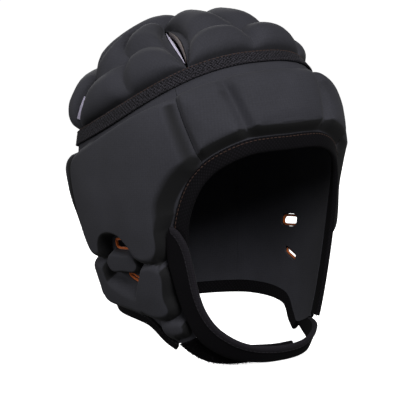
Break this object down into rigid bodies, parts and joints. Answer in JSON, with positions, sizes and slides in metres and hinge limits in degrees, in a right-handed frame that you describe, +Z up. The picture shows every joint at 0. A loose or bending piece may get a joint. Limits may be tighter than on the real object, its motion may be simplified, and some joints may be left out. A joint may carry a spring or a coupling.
{
  "type": "padded headgear",
  "caption": "Soft padded sports headgear with a quilted vented crown, thick brow and side pads, an open face, ear ports and a chin strap with a hook-and-loop closure.",
  "frame": {"origin": "top of the hollow that the head fills, where the crown of the head meets the inside", "axes": "+Z up, the wearer faces -Y, the wearer's left is +X"},
  "size_m": [0.1822, 0.2113, 0.2495],
  "materials": {
    "shell_cloth": "fine knitted polyester laid over closed-cell foam, matt",
    "woven_tape": "twill-woven binding tape with a copper-brown stitch line",
    "strap_foam": "knit-faced foam rubber with bound edges",
    "loop_pile": "fuzzy loop pile, dull",
    "edging_cord": "bright orange cord edging",
    "vent_lining": "pale lavender-grey lining cloth, raw edge"
  },
  "bodies": {
    "root": {"crown_front": "shell_cloth", "crown_back": "shell_cloth", "crown_right": "shell_cloth", "crown_left": "shell_cloth", "front_panel": "shell_cloth", "back_panel": "shell_cloth", "side_panel_right": "shell_cloth", "side_panel_left": "shell_cloth", "crown_tape": "woven_tape", "face_binding": "woven_tape", "nape_binding": "woven_tape", "vent_lining_front_right": "vent_lining", "vent_lining_front_left": "vent_lining", "vent_lining_rear_right": "vent_lining", "vent_lining_rear_left": "vent_lining", "ear_edging_upper_right": "edging_cord", "ear_edging_upper_left": "edging_cord", "ear_edging_lower_right": "edging_cord", "ear_edging_lower_left": "edging_cord", "hook_strap": "strap_foam", "loop_strap": "loop_pile"}
  },
  "joints": []
}
